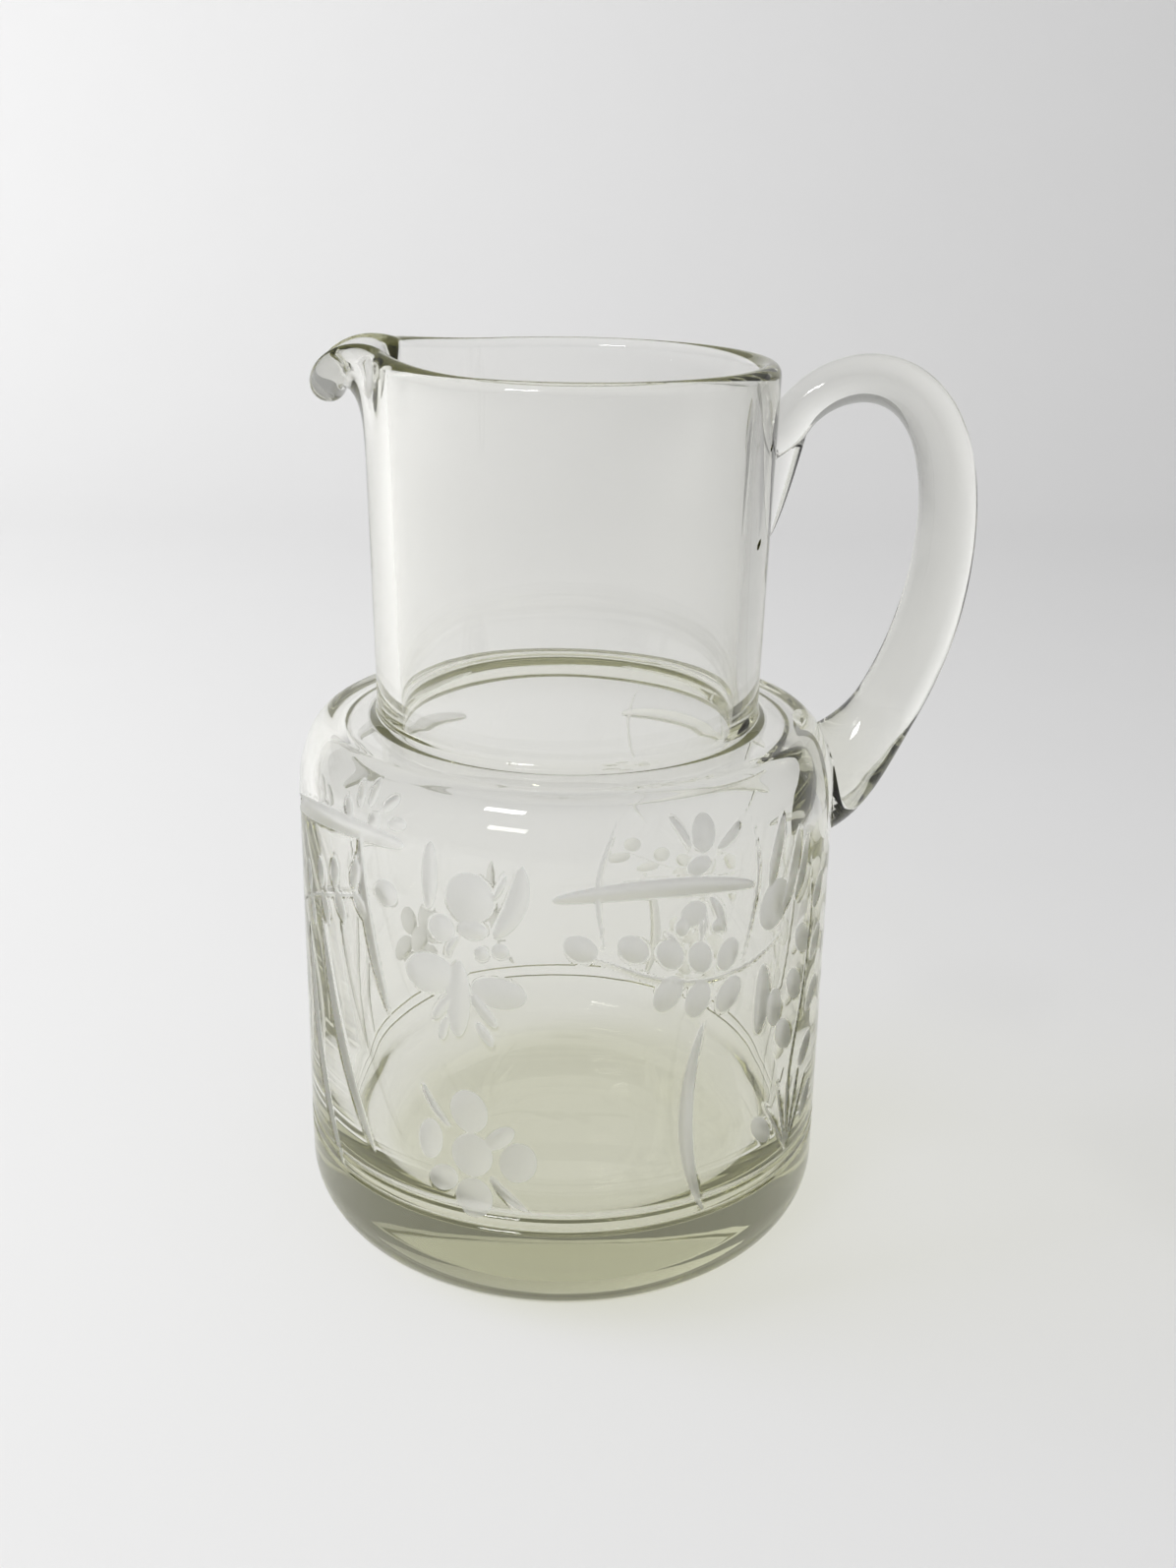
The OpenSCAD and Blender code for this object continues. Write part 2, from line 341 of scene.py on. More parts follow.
def cut_ornament(c):
    # Left: a bar over a small spray, a fern-like spray with an end bead and a long split
    c.leaf((-86, 97.5), (-33, 104.5), 4.4, bow=2.6, deep=0.5, blunt=0.35)
    c.stroke([(-47, 97), (-43.5, 104), (-40, 110)], 0.6)
    for s, z, h in ((-49, 108, 120), (-46, 111.5, 105), (-42.5, 112.5, 85), (-37.5, 111.5, 40)):
        c.olive(s, z, 2.6, 1.1, h)
    c.olive(-35, 108.2, 2.4, 1.2, 10)
    c.olive(-41, 107.6, 1.7, 1.7)
    c.stroke([(-75, 79), (-66, 83.5), (-58, 86.6), (-49, 89.6), (-41, 92.2)], 0.6)
    for s, z, h in ((-68.5, 87.2, 98), (-60.8, 90.6, 92), (-54.2, 93, 86), (-46.6, 95, 72)):
        c.olive(s, z, 3.4, 1.55, h)
    for s, z, h in ((-66.8, 80.4, -70), (-59, 83.4, -66), (-52.4, 86.2, -62), (-45, 88.3, -52)):
        c.olive(s, z, 3.6, 1.5, h)
    c.olive(-37.6, 93.6, 3.0, 2.8, deep=0.45)
    c.leaf((-45, 104), (-37.6, 67.6), 2.7, bow=-1.6, deep=0.5, blunt=0.55)
    # Left: two long blades that run down to the cut ring
    c.leaf((-70, 76), (-54.3, 24), 3.6, bow=-3.4, deep=0.55, blunt=0.6)
    c.leaf((-61, 80), (-43, 33.5), 3.4, bow=-2.2, deep=0.5, blunt=0.6)
    # Middle left, above: a flower seen from the side over a pair of large leaves
    c.leaf((-27, 106.7), (-27.3, 92.9), 3.4, bow=0.2, deep=0.45)
    c.olive(-18.6, 96.5, 4.8, 5.3, deep=0.5)
    c.olive(-24.5, 89.4, 2.8, 2.9)
    c.olive(-18.0, 90.0, 3.0, 2.0)
    c.leaf((-11.3, 101.9), (-13.8, 96.9), 1.1, bow=0.2)
    c.leaf((-8.2, 104), (-13.5, 89), 4.2, bow=1.6, deep=0.36, blunt=0.55)
    c.olive(-16.1, 85.4, 1.4, 1.5, deep=0.25)
    c.olive(-12.4, 86.4, 1.7, 1.5, deep=0.25)
    c.leaf((-21, 88.1), (-23.2, 83.7), 1.2, bow=-0.5)
    c.olive(-27.3, 79.3, 5.5, 4.2, 8, deep=0.5)
    c.olive(-12.8, 77.4, 5.6, 3.2, -5, deep=0.26)
    c.leaf((-20.9, 83), (-21.2, 66.7), 5.0, deep=0.4, blunt=0.5)
    c.leaf((-22.8, 75.1), (-26.5, 69.4), 2.1, deep=0.4)
    c.leaf((-18.4, 76.3), (-13.2, 69.8), 2.4, deep=0.4)
    c.leaf((-23.6, 70.6), (-24.8, 65.2), 1.9, deep=0.3)
    c.leaf((-17.2, 70.5), (-13.9, 65.6), 2.2, deep=0.3)
    # Middle left, below: an open flower with splits between its petals
    c.olive(-18.4, 40.7, 4.4, 4.9, deep=0.5)
    c.olive(-19.0, 50.5, 4.8, 4.0, 100)
    c.olive(-27.6, 42.3, 4.7, 2.8, 84)
    c.olive(-8.8, 40.3, 4.6, 3.8, 80, deep=0.3)
    c.olive(-24.7, 34.1, 3.5, 2.9, 35)
    c.olive(-18.0, 30.9, 4.6, 4.0, 85)
    c.olive(-12.6, 45.4, 3.8, 2.0, 42)
    c.leaf((-29.3, 54.4), (-22.8, 45.9), 1.6, bow=-0.6)
    c.leaf((-14.7, 36.4), (-6.9, 29.2), 2.2, bow=-0.5)
    # Middle right: a bar crossed by two fine arcs, with a half flower over it
    c.leaf((-2.4, 97.6), (40.2, 95.8), 3.8, bow=2.4, deep=0.5, blunt=0.4)
    c.stroke([(10, 113), (6.6, 104), (6.2, 96), (7.8, 86)], 0.9, taper=0.4)
    c.stroke([(39.4, 110), (41.2, 98), (39.8, 88), (37.2, 78.4)], 0.7, taper=0.4)
    c.olive(27.6, 108.8, 3.6, 2.6, 85, deep=0.3)
    c.leaf((20.6, 112.6), (24.6, 106.4), 1.4, bow=0.4)
    c.leaf((30.6, 105.2), (36.4, 109.4), 2.1, bow=-0.4)
    c.olive(26.4, 102.6, 2.6, 1.9, 15, deep=0.25)
    c.leaf((29.2, 95.6), (32.8, 87.4), 1.8, bow=0.6)
    c.olive(25.6, 92.8, 2.8, 2.6, deep=0.28)
    # Middle right: a stem of paired leaves that swings up to a bud
    c.stroke([(0.6, 87), (8, 84.6), (17, 80.6), (26, 78.2), (34, 78), (42, 79.4), (50, 82.8)], 0.6)
    for s, z, h in ((3.0, 87.6, 150), (13.2, 87, 140), (20.8, 85, 128), (27.4, 83.2, 112),
                    (34.0, 82.4, 75)):
        c.olive(s, z, 3.5, 2.5, h, deep=0.34)
    for s, z, h in ((20.6, 76.6, 60), (27.2, 74.2, 75), (34.6, 73.6, 60)):
        c.olive(s, z, 3.9, 2.8, h, deep=0.36)
    for a, b in (((19.4, 90), (23, 86.6)), ((27.2, 92.6), (27.4, 86.6)), ((28.6, 92.8), (28, 87))):
        c.stroke([a, b], 0.8, taper=0.5)
    c.olive(23.2, 90.4, 1.5, 1.9)
    c.olive(31.4, 89.2, 1.5, 1.5)
    c.olive(46.6, 89.6, 5.4, 4.4, 70, deep=0.5)
    c.leaf((45.2, 93.4), (48.8, 107.6), 3.2, bow=0.5)
    c.leaf((50.4, 87.6), (54.6, 103.4), 3.4, bow=-0.8)
    c.leaf((54.4, 88.4), (58.6, 101), 3.0, bow=-0.8)
    # Right: a climbing spray, a bowed blade and a fan of fine splits
    c.stroke([(61, 97), (62.6, 82), (60.6, 66), (56, 48), (56, 29)], 0.6)
    for s, z, h in ((66.8, 86, 50), (67, 74, 50), (66.4, 62, 45), (64, 50, 40)):
        c.olive(s, z, 4.2, 2.4, h)
    for s, z, h in ((58.6, 78, 130), (56, 68.6, 125), (52.6, 58.4, 125), (48.6, 66, 100)):
        c.olive(s, z, 4.4, 2.6, h)
    c.leaf((44, 77), (43.4, 62), 4.6, bow=0.6, deep=0.4)
    for s, z in ((46.6, 44.6), (51, 48), (55.8, 49.2), (60.8, 47.4), (65, 43.4)):
        c.leaf((56.4, 29.4), (s, z), 0.9, deep=0.4)
    c.olive(46.2, 38.4, 4.6, 2.2, 130)
    c.olive(66.6, 36.6, 4.4, 2.2, 45)
    c.leaf((28.8, 68.6), (30.6, 24.8), 3.2, bow=-4.2, deep=0.55, blunt=0.6)
    # Behind the handle: a small sprig, so that the pattern closes round the body
    c.spray([(90, 40), (88, 56), (91, 74), (87, 92)], 8.5, 5, lean=38)
    c.leaf((99, 90), (116, 84), 3.0, bow=1.4)
    # Back: a bar with a flower, a fern-like spray and open flowers, as on the front
    c.leaf((122, 96), (166, 99), 3.8, bow=2.4, deep=0.5, blunt=0.4)
    c.stroke([(132, 110), (128, 98), (130, 84)], 0.8, taper=0.4)
    c.stroke([(160, 110), (164, 97), (160, 82)], 0.8, taper=0.4)
    c.spray([(120, 66), (134, 60), (150, 60), (166, 68)], 7.0, 5, lean=30)
    c.daisy(138, 40, 8.6, 5, first=18, middle=3.6)
    c.leaf((158, 56), (156, 26), 3.2, bow=-3.6, deep=0.5, blunt=0.6)
    c.leaf((-160, 62), (-166, 28), 3.2, bow=3.4, deep=0.5, blunt=0.6)
    c.leaf((-152, 100), (-112, 97), 3.8, bow=2.2, deep=0.5, blunt=0.4)
    c.daisy(-134, 42, 8.8, 6, first=0, middle=3.8)
    c.leaf((-112, 78), (-104, 28), 3.2, bow=3.0, deep=0.5, blunt=0.6)
    c.leaf((-104, 80), (-92, 30), 3.2, bow=2.4, deep=0.5, blunt=0.6)
    c.spray([(-104, 90), (-96, 96), (-90, 103)], 6.2, 3, lean=35)


# ---------------------------------------------------------------- meshes
class Skin:
    """Points and faces of a closed skin made of rings about the axis."""

    def __init__(self):
        self.points, self.faces, self.count = [], [], 0

    def add(self, xyz):
        xyz = np.asarray(xyz, float).reshape(-1, 3)
        first = self.count
        self.points.append(xyz)
        self.count += len(xyz)
        return np.arange(first, self.count)

    def ring(self, az, r, z):
        a = np.radians(az)
        r = np.broadcast_to(r, a.shape)
        z = np.broadcast_to(z, a.shape)
        return self.add(np.c_[r * np.cos(a), r * np.sin(a), z])

    def join(self, a, b):
        self.faces += np.c_[a, np.roll(a, -1), np.roll(b, -1), b].tolist()

    def join_all(self, rings):
        for a, b in zip(rings, rings[1:]):
            self.join(a, b)

    def close(self, rings):
        """Joins rings into a solid with a flat face at each end."""
        self.join_all(rings)
        self.faces += [rings[0][::-1].tolist(), rings[-1].tolist()]

    def cone(self, tip, a, opens):
        """Joins a ring to a tip: opens is true where the skin starts at that tip."""
        b = np.roll(a, -1)
        t = np.full(len(a), tip)
        self.faces += (np.c_[t, b, a] if opens else np.c_[t, a, b]).tolist()

    def zip(self, a, az_a, b, az_b):
        """Joins two rings with different angles, both starting near the same one."""
        i = j = 0
        na, nb = len(a), len(b)
        wa = np.r_[az_a, az_a[0] + 360]
        wb = np.r_[az_b, az_b[0] + 360]
        while i < na or j < nb:
            if j >= nb or (i < na and wa[i + 1] <= wb[j + 1]):
                self.faces.append([a[i % na], a[(i + 1) % na], b[j % nb]])
                i += 1
            else:
                self.faces.append([a[i % na], b[(j + 1) % nb], b[j % nb]])
                j += 1

    def mesh(self, name):
        m = bpy.data.meshes.new(name)
        xyz = np.vstack(self.points) * MM * (drawn_in, drawn_in, 1)
        m.from_pydata(xyz.tolist(), [], [list(map(int, f)) for f in self.faces])
        m.update()
        m.shade_smooth()
        return m


def wave(az, z, seed):
    """Slow unevenness of blown glass, about -1 to 1."""
    a = np.radians(az)
    rng = np.random.default_rng(seed)
    total = 0
    for k in range(1, 6):
        p = rng.uniform(0, 2 * math.pi, 2)
        round_axis = np.sin(k * a + p[0] + z * 0.035 * (k % 3 + 1))
        total = total + round_axis * np.cos(z * 0.022 * k + p[1]) / k
    return total / 1.6


def bell(angle, half):
    """1 at the middle of the spout, falling smoothly to 0 at half an angle from it."""
    return np.cos(np.radians(90 * np.minimum(np.abs(angle) / half, 1))) ** 2


# How far the middle line of the neck's top leans outwards
line_h = spout_h - rim_t / 2
lean = math.atan2(neck_r(rim_z) - neck_r(split_z) - (rim_t - neck_wall(split_z)) / 2, line_h)


def upper_rows(az, steps=54, rim_steps=22, tuck=10):
    """Rows (r, z) over the top of the neck, the rim and the bore, for each angle."""
    angle = (az + 360) % 360 - 180
    bend = bell(angle, spout_half) ** lip_taper
    lift = bell(angle, spout_spread)
    u = 1 - (1 - np.arange(steps + 1) / steps) ** crowding
    mid = (u[1:] + u[:-1]) / 2
    length = line_h / math.cos(lean) + flank_rise * lift + lip_reach * bend
    step = length[:, None] * np.diff(u)
    head_mid = lean + spout_turn * bend[:, None] * mid**curl
    r0 = neck_r(split_z) - neck_wall(split_z) / 2
    zero = np.zeros((len(az), 1))
    line_r = r0 + np.hstack([zero, np.cumsum(step * np.sin(head_mid), axis=1)])
    line_z = split_z + np.hstack([zero, np.cumsum(step * np.cos(head_mid), axis=1)])
    head = lean + spout_turn * bend[:, None] * u**curl
    half = (neck_wall(split_z) * (1 - u) + rim_t * u) / 2
    half = half + lip_bead * np.sqrt(bend)[:, None] * u**bead_late
    side_r, side_z = np.cos(head), -np.sin(head)

    def row(i, out_r, out_z):
        return line_r[:, i] + half[:, i] * out_r, line_z[:, i] + half[:, i] * out_z

    rows = [row(i, side_r[:, i], side_z[:, i]) for i in range(steps - tuck + 1)]
    for a in (math.pi * k / rim_steps for k in range(rim_steps)):
        rows.append(row(-1, math.cos(a) * side_r[:, -1] + math.sin(a) * np.sin(head[:, -1]),
                        math.cos(a) * side_z[:, -1] + math.sin(a) * np.cos(head[:, -1])))
    return rows + [row(i, -side_r[:, i], -side_z[:, i]) for i in range(steps, -1, -1)]


# Angles of the rings' points: coarse inside, fine where the ornament is, close at lip and handle
az_coarse = np.arange(288) * 1.25
az_fine = np.arange(810) * (360 / 810)
az_neck = np.concatenate([
    np.arange(0, 10, 0.5), np.arange(10, 154, 1.5), np.arange(154, 206, 0.5),
    np.arange(206, 350, 1.5), np.arange(350, 360, 0.5),
])


def groove_depth(z):
    """Depth of the cut double ring at a height."""
    d = 0
    for c in (ring_z - ring_pitch / 2, ring_z + ring_pitch / 2):
        d = d + ring_depth * np.clip(1 - (2 * np.abs(z - c) / ring_w) ** 1.6, 0, 1)
    return d


def build_body():
    """The body's mesh from the middle of its foot to the middle of its floor, and its cut mask."""
    skin = Skin()
    last, last_az = None, None

    def lay(az, r, z):
        nonlocal last, last_az
        now = skin.ring(az, r, z)
        if last is not None:
            if last_az is az:
                skin.join(last, now)
            else:
                skin.zip(last, last_az, now, az)
        last, last_az = now, az
        return now

    tip = skin.add([(0, 0, 0)])[0]
    skin.cone(tip, lay(az_coarse, 5, 0), True)
    for r in (12, 20, 28, 35):
        lay(az_coarse, r, 0)
    for r, z in arc(body_r - foot_r, foot_r, foot_r, foot_r, -90, 0, 34):
        lay(az_coarse, r, z)
    # The wall with the ring and the ornament, up to the top of the rounded shoulder edge
    wall_z = np.r_[np.arange(18.0, 22.6, 1.1), np.arange(23.2, 29.0, 0.16),
                   np.arange(29.2, edge_z, 0.45)]
    outline = [(body_r, z) for z in wall_z] + shoulder_edge(34)[:-1]
    cut_rings, n = [], len(az_fine)
    # The middle of the front looks along -Y, at -90 degrees
    s_front = np.radians((az_fine + 90 + 180) % 360 - 180) * body_r
    c = Cuts(np.tile(s_front, len(outline)), np.repeat([p[1] for p in outline], n))
    cut_ornament(c)
    depth, inside = c.depth.reshape(-1, n), c.inside.reshape(-1, n)
    for k, (r, z) in enumerate(outline):
        cut_rings.append(lay(az_fine, r - np.maximum(cut_depth * depth[k], groove_depth(z)), z))
    # The shoulder, the fillet and the neck
    neck_foot = neck_fillet(14)
    lay(az_fine, edge_r, body_h)
    for t in (0.35, 0.7):
        lay(az_neck, edge_r + (neck_foot[0][0] - edge_r) * t, body_h + shoulder_rise * t)
    for r, z in neck_foot:
        lay(az_neck, r, z)
    for z in np.linspace(neck_foot[-1][1], split_z, 16)[1:-1]:
        lay(az_neck, neck_r(z), z)
    for r, z in upper_rows(az_neck):
        lay(az_neck, r, z)
    # The bore, the throat and the cavity, a little uneven as blown glass is
    for z in np.linspace(split_z, throat_z, 16)[1:]:
        lay(az_coarse, bore_r(z) + bore_wave * wave(az_coarse, z, bore_seed), z)
    inner = arc(bore_r(body_h) + throat_r, throat_z, throat_r, throat_r, 180, 270, 16)[1:]
    inner += arc(cavity_r - edge_w, edge_z, edge_w, edge_h - shoulder_t, 90, 0, 20)
    for t in np.linspace(0, 1, 24)[1:-1]:
        inner.append((cavity_r - wall_growth * t, edge_z + (base_t + well_h - edge_z) * t))
    inner += funnel(40)
    for r, z in inner:
        w = wave(az_coarse, z, cavity_seed)
        lay(az_coarse, r + cavity_wave * w, z + height_wave * w)
    floor_wave = height_wave * wave(az_coarse, base_t, cavity_seed)
    for t in (0.85, 0.7, 0.55, 0.4, 0.25, 0.12):
        lay(az_coarse, floor_r * t, base_t - well_dip * (1 - t * t) + t * floor_wave)
    bottom = skin.add([(0, 0, base_t - well_dip)])[0]
    skin.cone(bottom, last, False)
    mesh = skin.mesh("pitcher_body")
    cut = np.full(skin.count, cut_far)
    for ring, ins in zip(cut_rings, inside):
        cut[ring] = ins
    return mesh, cut


def tube(points, sides, half_t, half_w):
    """A closed skin round a line in the plane y = 0, with oval sections."""
    skin = Skin()
    pts = np.array(points)
    rings = []
    a = np.radians(np.arange(sides) * 360 / sides)
    for i in range(len(pts)):
        ahead = pts[min(i + 1, len(pts) - 1)] - pts[max(i - 1, 0)]
        n = np.array([-ahead[1], ahead[0]]) / np.linalg.norm(ahead)
        q = pts[i] + np.outer(half_t[i] * np.cos(a), n)
        rings.append(skin.add(np.c_[q[:, 0], half_w[i] * np.sin(a), q[:, 1]]))
    skin.close(rings)
    return skin


def curve(p0, p1, p2, p3, n):
    """A curve from p0 to p3 pulled towards p1 and p2, in n steps, without its first point."""
    out = []
    for i in range(1, n + 1):
        t = i / n
        u = 1 - t
        out.append(u**3 * p0 + 3 * u * u * t * p1 + 3 * u * t * t * p2 + t**3 * p3)
    return out


def handle_parts():
    """The drawn rod and its tail, both still reaching into the body."""
    leave = np.array([neck_r(rim_z - handle_below_rim) + handle_stand, rim_z - handle_below_rim])
    seal = np.array([body_r - seal_depth, body_h - seal_below_shoulder])
    rise = leave[1] - seal[1]
    outermost = np.array([body_r + handle_reach, seal[1] + outermost_share * rise])
    root = leave - rod_t * along((root_heading + leave_heading) / 2)
    line = [root]
    line += curve(root, root + rod_t / 3 * along(root_heading),
                  leave - rod_t / 3 * along(leave_heading), leave, root_steps * finer)
    line += curve(leave, leave + leave_pull * (outermost[0] - leave[0]) * along(leave_heading),
                  outermost + np.array([0, above_pull * rise]), outermost, rod_steps * finer)
    line += curve(outermost, outermost - np.array([0, below_pull * rise]),
                  seal - seal_pull * (outermost[0] - seal[0]) * along(seal_heading), seal,
                  rod_steps * finer)
    line.append(seal + rod_t * along(seal_heading))
    # The rod grows by the steps of the CAD's coarser line
    fine = np.arange(1, rod_steps * finer + 1) / finer
    s = np.r_[np.linspace(0, root_steps, root_steps * finer + 1), root_steps + fine,
              root_steps + rod_steps + fine, line_steps] / line_steps
    grown, swell = ease(s, 0, rod_grown), ease(s, foot_start, 1)
    half_t = (rod_t + rod_growth * grown + foot_growth * swell) / 2
    half_w = (rod_w + rod_spread * grown + foot_spread * swell) / 2
    rod = tube(line, rod_sides, half_t, half_w)
    tail = Skin()
    rings = []
    a = np.radians(np.arange(tail_sides) * 360 / tail_sides)
    top_z = leave[1] - rod_t / 4
    for t in (k / tail_steps for k in range(tail_steps + 1)):
        z = top_z - tail_h * (1 - t)
        full = max(t**tail_full, 0.012)
        rings.append(tail.add(np.c_[neck_r(z) + tail_depth * full * np.cos(a),
                                    -tail_w / 2 * full * np.sin(a), np.full(tail_sides, z)]))
    tail.close(rings)
    return rod, tail


def plug():
    """The body's outside as a solid, to cut the handle's seals with; a hair larger all round."""
    hair = 0.02
    skin = Skin()
    az = np.arange(360) * 1.0
    bottom_z = 20.0
    outline = [(body_r + hair, bottom_z), (body_r + hair, edge_z)]
    outline += [(r + hair, z) for r, z in shoulder_edge(40)[1:-1]]
    outline += [(edge_r, body_h + hair)]
    outline += [(r + hair, z + hair) for r, z in neck_fillet(12)]
    outline += [(neck_r(rim_z) + hair, rim_z)]
    rings = [skin.ring(az, r, z) for r, z in outline]
    skin.join_all(rings)
    low = skin.add([(0, 0, bottom_z)])[0]
    high = skin.add([(0, 0, rim_z)])[0]
    skin.cone(low, rings[0], True)
    skin.cone(high, rings[-1], False)
    return skin


def add_object(name, data):
    ob = bpy.data.objects.new(name, data)
    bpy.context.scene.collection.objects.link(ob)
    return ob


def combine(ob, other, how):
    """Replaces an object's mesh by its union with or difference from another, which is used up."""
    mod = ob.modifiers.new("cut", "BOOLEAN")
    mod.operation = how
    mod.solver = "EXACT"
    mod.object = other
    if how == "DIFFERENCE":
        mod.material_mode = "TRANSFER"
    dg = bpy.context.evaluated_depsgraph_get()
    made = bpy.data.meshes.new_from_object(ob.evaluated_get(dg))
    ob.modifiers.clear()
    old = ob.data
    ob.data = made
    made.name = old.name
    bpy.data.objects.remove(other)


# ---------------------------------------------------------------- materials
def nodes_of(name):
    """A new material with an empty node tree and its output node."""
    mat = bpy.data.materials.new(name)
    mat.use_nodes = True
    tree = mat.node_tree
    tree.nodes.clear()
    return mat, tree, tree.nodes.new("ShaderNodeOutputMaterial")


def value(tree, kind, *inputs):
    """The result of a Math node; inputs are numbers or sockets."""
    n = tree.nodes.new("ShaderNodeMath")
    n.operation = kind
    for k, v in enumerate(inputs):
        if isinstance(v, (int, float)):
            n.inputs[k].default_value = v
        else:
            tree.links.new(v, n.inputs[k])
    return n.outputs[0]


def attribute(tree, name):
    n = tree.nodes.new("ShaderNodeAttribute")
    n.attribute_name = name
    return n.outputs["Fac"]


def noise(tree, scale, detail=3.0, rough=0.5, stretch=(1, 1, 1)):
    """Noise fixed to the object, its scale in cells per metre."""
    co = tree.nodes.new("ShaderNodeTexCoord")
    m = tree.nodes.new("ShaderNodeMapping")
    m.inputs["Scale"].default_value = stretch
    tree.links.new(co.outputs["Object"], m.inputs["Vector"])
    n = tree.nodes.new("ShaderNodeTexNoise")
    n.inputs["Scale"].default_value = scale
    n.inputs["Detail"].default_value = detail
    n.inputs["Roughness"].default_value = rough
    tree.links.new(m.outputs[0], n.inputs["Vector"])
    return n.outputs["Fac"]


def smooth_step(tree, socket, half, first=0.0, last=1.0):
    """Goes smoothly from first to last while the socket goes from -half to half."""
    n = tree.nodes.new("ShaderNodeMapRange")
    n.interpolation_type = "SMOOTHSTEP"
    n.inputs["From Min"].default_value = -half
    n.inputs["From Max"].default_value = half
    n.inputs["To Min"].default_value = first
    n.inputs["To Max"].default_value = last
    tree.links.new(socket, n.inputs["Value"])
    return n.outputs["Result"]


def bump(tree, height, strength, distance):
    n = tree.nodes.new("ShaderNodeBump")
    n.inputs["Strength"].default_value = strength
    n.inputs["Distance"].default_value = distance
    tree.links.new(height, n.inputs["Height"])
    return n


def blend(tree, factor, a, b):
    """A colour from a to b by a factor."""
    n = tree.nodes.new("ShaderNodeMix")
    n.data_type = "RGBA"
    n.inputs["A"].default_value = a
    n.inputs["B"].default_value = b
    tree.links.new(factor, n.inputs["Factor"])
    return n.outputs["Result"]


def blend_shaders(tree, factor, a, b):
    n = tree.nodes.new("ShaderNodeMixShader")
    for socket, source in zip(n.inputs, (factor, a, b)):
        tree.links.new(source, socket)
    return n.outputs[0]


def tint_depth(tree, out):
    """The olive tint that grows with the way through the glass."""
    v = tree.nodes.new("ShaderNodeVolumeAbsorption")
    v.inputs["Color"].default_value = (*glass_tint, 1)
    v.inputs["Density"].default_value = glass_density
    tree.links.new(v.outputs[0], out.inputs["Volume"])


def glass(name, blown):
    """Clear soda glass: blown, with ground cuts and a worn foot, or else drawn in streaks."""
    mat, t, out = nodes_of(name)
    p = t.nodes.new("ShaderNodeBsdfPrincipled")
    p.inputs["Base Color"].default_value = glass_tone
    p.inputs["IOR"].default_value = 1.5
    p.inputs["Transmission Weight"].default_value = 1.0
    waves = noise(t, 95, 2.0, 0.4, (1, 1, 0.45 if blown else 0.12))
    normal = bump(t, waves, 0.5, ripple_depth if blown else streak_depth).outputs[0]
    rough = value(t, "MULTIPLY", noise(t, 1400, 2.0), clear_rough)
    if blown:
        # The ground cuts, a little white and grainy
        mask = smooth_step(t, attribute(t, "cut"), 0.12)
        grain = bump(t, noise(t, 2600, 4.0, 0.65, (1, 1, 0.35)), 1.0, grain_depth)
        t.links.new(value(t, "MULTIPLY", mask, 0.9), grain.inputs["Strength"])
        t.links.new(normal, grain.inputs["Normal"])
        normal = grain.outputs[0]
        matt = value(t, "MULTIPLY_ADD", noise(t, 900, 3.0), 0.16, cut_rough)
        rough = value(t, "MULTIPLY_ADD", mask, matt, rough)
        t.links.new(value(t, "MULTIPLY_ADD", mask, -cut_white, 1.0),
                    p.inputs["Transmission Weight"])
        ground = (cut_tone, cut_tone, cut_tone * 0.98, 1)
        t.links.new(blend(t, mask, glass_tone, ground), p.inputs["Base Color"])
        # Fine scuffs on the resting face
        co = t.nodes.new("ShaderNodeTexCoord")
        xyz = t.nodes.new("ShaderNodeSeparateXYZ")
        t.links.new(co.outputs["Object"], xyz.inputs[0])
        low = value(t, "LESS_THAN", xyz.outputs["Z"], scuff_top)
        scuff = value(t, "GREATER_THAN", noise(t, 700, 5.0, 0.7, (1, 0.25, 1)), 0.56)
        rough = value(t, "MULTIPLY_ADD", value(t, "MULTIPLY", low, scuff), scuff_rough, rough)
    t.links.new(rough, p.inputs["Roughness"])
    t.links.new(normal, p.inputs["Normal"])
    # Lamps shine on through the glass; the tint of its depth comes from the volume
    clear = t.nodes.new("ShaderNodeBsdfTransparent")
    # Its tone above 1 is painted light, in place of the light the glass focuses onto the floor
    # below
    clear.inputs[0].default_value = (pass_and_caustic_tone, pass_and_caustic_tone, pass_and_caustic_tone * 0.995, 1)
    path = t.nodes.new("ShaderNodeLightPath")
    passes = value(t, "MAXIMUM", path.outputs["Is Shadow Ray"], path.outputs["Is Diffuse Ray"])
    surface = blend_shaders(t, passes, p.outputs[0], clear.outputs[0])
    if blown:
        # Where the handle is sealed on, the two gathers are one piece of glass
        through = t.nodes.new("ShaderNodeBsdfTransparent")
        sealed = smooth_step(t, attribute(t, "seal"), 0.03)
        surface = blend_shaders(t, sealed, surface, through.outputs[0])
    t.links.new(surface, out.inputs["Surface"])
    tint_depth(t, out)
    return mat


def seal_glass(name):
    """The handle's faces that are sealed to the body: nothing but the tint of the depth."""
    mat, t, out = nodes_of(name)
    clear = t.nodes.new("ShaderNodeBsdfTransparent")
    t.links.new(clear.outputs[0], out.inputs["Surface"])
    tint_depth(t, out)
    return mat


def paper(name, colour):
    mat, t, out = nodes_of(name)
    p = t.nodes.new("ShaderNodeBsdfPrincipled")
    p.inputs["Roughness"].default_value = 0.85
    p.inputs["Specular IOR Level"].default_value = 0.2
    darker = (*[c * 0.985 for c in colour], 1)
    t.links.new(blend(t, noise(t, 14, 3.0), (*colour, 1), darker), p.inputs["Base Color"])
    t.links.new(bump(t, noise(t, 900, 4.0), 0.2, 0.0001).outputs[0], p.inputs["Normal"])
    t.links.new(p.outputs[0], out.inputs["Surface"])
    return mat


# ---------------------------------------------------------------- the two pieces of glass
def within(tree, p):
    """Whether a point lies inside a closed skin, by counting the walls on one side of it."""
    way = Vector((0.13, 1, 0.071)).normalized()
    walls, start = 0, p.copy()
    while True:
        hit = tree.ray_cast(start, way)[0]
        if hit is None:
            return walls % 2 == 1
        walls += 1
        start = hit + way * 1e-7


